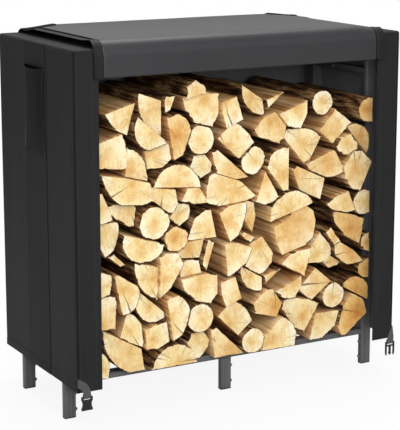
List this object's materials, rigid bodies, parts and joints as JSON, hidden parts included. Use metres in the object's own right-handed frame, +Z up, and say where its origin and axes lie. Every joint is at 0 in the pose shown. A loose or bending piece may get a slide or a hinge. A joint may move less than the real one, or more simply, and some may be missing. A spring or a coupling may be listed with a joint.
{
  "type": "log store",
  "caption": "Tube-framed log store with a dark fabric cover, its front flap turned back over the roof, and split firewood stacked behind the open front.",
  "frame": {"origin": "on the ground, under the middle of the store", "axes": "+X to the right seen from the open front, +Y to the back, +Z up"},
  "size_m": [1.2386, 0.6, 1.2193],
  "materials": {
    "steel": "grey powder coat",
    "cap": "moulded",
    "cover": "coated woven cloth, dark grey",
    "flap": "coated woven cloth, its inner side out",
    "tab": "black hook and loop tape",
    "webbing": "grey woven webbing",
    "buckle": "moulded, satin",
    "firewood": "split, with bark"
  },
  "bodies": {
    "root": {"front_left_post": "steel", "front_right_post": "steel", "back_left_post": "steel", "back_right_post": "steel", "front_middle_leg": "steel", "back_middle_leg": "steel", "front_bottom_rail": "steel", "back_bottom_rail": "steel", "left_bottom_rail": "steel", "right_bottom_rail": "steel", "left_cross_rail": "steel", "right_cross_rail": "steel", "left_top_bar": "steel", "right_top_bar": "steel", "foot_caps": "cap", "left_panel": "cover", "right_panel": "cover", "back_panel": "cover", "roof_panel": "cover", "left_front_strip": "cover", "right_front_strip": "cover", "front_valance": "cover", "left_band": "cover", "right_band": "cover", "left_handle": "cover", "right_handle": "cover", "front_flap": "flap", "flap_tabs": "tab", "left_strap": "webbing", "right_strap": "webbing", "buckle_socket": "buckle", "buckle_prongs": "buckle", "log_course_1": "firewood", "log_course_2": "firewood", "log_course_3": "firewood", "log_course_4": "firewood", "log_course_5": "firewood", "log_course_6": "firewood", "log_course_7": "firewood", "log_course_8": "firewood", "log_course_9": "firewood", "log_course_10": "firewood"}
  },
  "joints": []
}
